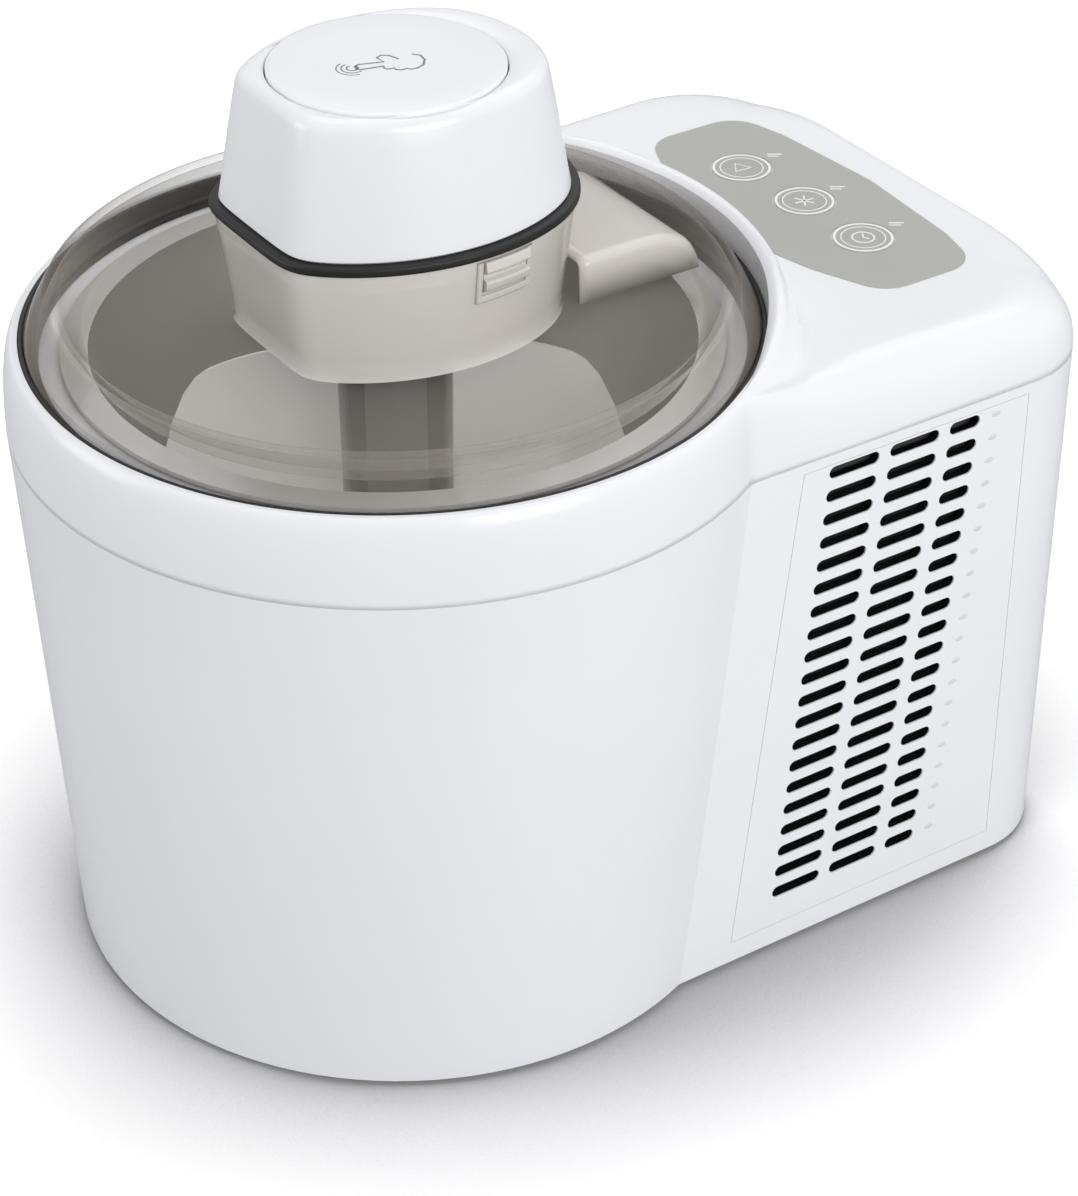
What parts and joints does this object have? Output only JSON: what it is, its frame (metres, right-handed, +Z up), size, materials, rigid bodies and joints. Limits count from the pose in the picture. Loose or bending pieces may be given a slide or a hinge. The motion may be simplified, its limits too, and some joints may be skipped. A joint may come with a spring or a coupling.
{
  "type": "ice cream maker",
  "caption": "Countertop self-cooling ice cream maker: round bowl section, ventilated cooling box, smoky clear lid with a lift-off motor head, paddle and removable bowl.",
  "frame": {"origin": "middle of the whole length and width, on the surface the feet stand on", "axes": "+Z up, -Y towards the round bowl end, +Y towards the rear grille, +X to the right when the bowl end faces the viewer"},
  "size_m": [0.212, 0.287, 0.2636],
  "materials": {
    "white_plastic": "moulded ABS, high gloss",
    "base_plastic": "moulded ABS, matt",
    "overlay_film": "printed polycarbonate film, satin",
    "key_film": "printed polycarbonate film, satin",
    "circuit_board": "glass-epoxy board with solder mask",
    "transformer_core": "laminated core, lacquered",
    "black_rubber": "moulded rubber",
    "foot_rubber": "moulded rubber",
    "screw_steel": "zinc-plated steel",
    "well_aluminium": "spun aluminium, plain",
    "sink_aluminium": "extruded aluminium",
    "bowl_aluminium": "spun aluminium, satin anodised",
    "foam": "rigid polyurethane foam",
    "ceramic_plate": "alumina plates",
    "black_plastic": "moulded nylon, matt",
    "paddle_plastic": "moulded acetal, satin",
    "smoky_clear": "clear polycarbonate, smoky tint",
    "grey_plastic": "moulded ABS, matt",
    "motor_steel": "drawn steel can",
    "brass": "turned brass",
    "gear_plastic": "moulded acetal"
  },
  "bodies": {
    "base_unit": {"lower_housing": "white_plastic", "top_cover": "white_plastic", "base_plate": "base_plastic", "right_vent_panel": "white_plastic", "left_vent_panel": "white_plastic", "rear_grille": "white_plastic", "cord_gland": "black_rubber", "control_overlay": "overlay_film", "control_board": "circuit_board", "foot_front_left": "foot_rubber", "foot_front_right": "foot_rubber", "foot_rear_left": "foot_rubber", "foot_rear_right": "foot_rubber", "case_screws": "screw_steel", "cooling_well": "well_aluminium", "insulation": "foam", "cold_block": "well_aluminium", "thermoelectric_module": "ceramic_plate", "heat_sink": "sink_aluminium", "fan_frame": "black_plastic", "power_board": "circuit_board", "transformer": "transformer_core", "lid_seal": "black_rubber"},
    "bowl": {"mixing_bowl": "bowl_aluminium"},
    "lid_unit": {"lid": "smoky_clear", "lid_contact": "white_plastic"},
    "motor_unit": {"motor_base": "white_plastic", "motor_seal": "black_rubber", "motor_cap": "white_plastic", "motor": "motor_steel", "gear_plate": "grey_plastic"},
    "button": {"press_button": "white_plastic"},
    "latch": {"motor_latch": "smoky_clear"},
    "pinion": {"motor_pinion": "brass"},
    "idler": {"idler_gear": "gear_plastic"},
    "drive": {"output_shaft": "gear_plastic"},
    "mixer": {"paddle": "paddle_plastic"},
    "fan": {"fan_rotor": "black_plastic"},
    "key_start": {"start_key": "key_film"},
    "key_mode": {"mode_key": "key_film"},
    "key_timer": {"timer_key": "key_film"}
  },
  "joints": [
    {"name": "lid_lift", "type": "slide", "parent": "base_unit", "child": "lid_unit", "axis": [0, 0, 1], "range_m": [0, 0.24]},
    {"name": "bowl_lift", "type": "slide", "parent": "base_unit", "child": "bowl", "axis": [0, 0, 1], "range_m": [0, 0.12]},
    {"name": "motor_lift", "type": "slide", "parent": "lid_unit", "child": "motor_unit", "axis": [0, 0, 1], "range_m": [0, 0.06]},
    {"name": "paddle_spin", "type": "hinge", "parent": "lid_unit", "child": "mixer", "pos_m": [0, -0.0375, 0.14], "axis": [0, 0, 1], "continuous": true},
    {"name": "output_spin", "type": "hinge", "parent": "motor_unit", "child": "drive", "pos_m": [0, -0.0375, 0.2], "axis": [0, 0, 1], "continuous": true},
    {"name": "idler_spin", "type": "hinge", "parent": "motor_unit", "child": "idler", "pos_m": [-0.01574, -0.0265, 0.205], "axis": [0, 0, 1], "continuous": true},
    {"name": "pinion_spin", "type": "hinge", "parent": "motor_unit", "child": "pinion", "pos_m": [0, -0.0155, 0.208], "axis": [0, 0, 1], "continuous": true},
    {"name": "fan_spin", "type": "hinge", "parent": "base_unit", "child": "fan", "pos_m": [0, 0.1285, 0.088], "axis": [0, 1, 0], "continuous": true},
    {"name": "button_press", "type": "slide", "parent": "motor_unit", "child": "button", "axis": [0, 0, -1], "range_m": [0, 0.0015], "stiffness_N_per_m": 800, "springref_m": -0.001},
    {"name": "latch_press", "type": "slide", "parent": "motor_unit", "child": "latch", "axis": [-0.9945, -0.1045, 0], "range_m": [0, 0.002], "stiffness_N_per_m": 600, "springref_m": -0.0005},
    {"name": "start_key_press", "type": "slide", "parent": "base_unit", "child": "key_start", "axis": [0, 0, -1], "range_m": [0, 0.0006], "stiffness_N_per_m": 800, "springref_m": -0.0004},
    {"name": "mode_key_press", "type": "slide", "parent": "base_unit", "child": "key_mode", "axis": [0, 0, -1], "range_m": [0, 0.0006], "stiffness_N_per_m": 800, "springref_m": -0.0004},
    {"name": "timer_key_press", "type": "slide", "parent": "base_unit", "child": "key_timer", "axis": [0, 0, -1], "range_m": [0, 0.0006], "stiffness_N_per_m": 800, "springref_m": -0.0004}
  ],
  "couplings": [
    {"joint": "bowl_lift", "follows": "lid_lift", "ratio": 0.5},
    {"joint": "output_spin", "follows": "paddle_spin", "ratio": 1},
    {"joint": "idler_spin", "follows": "paddle_spin", "ratio": -3},
    {"joint": "pinion_spin", "follows": "paddle_spin", "ratio": 9}
  ]
}
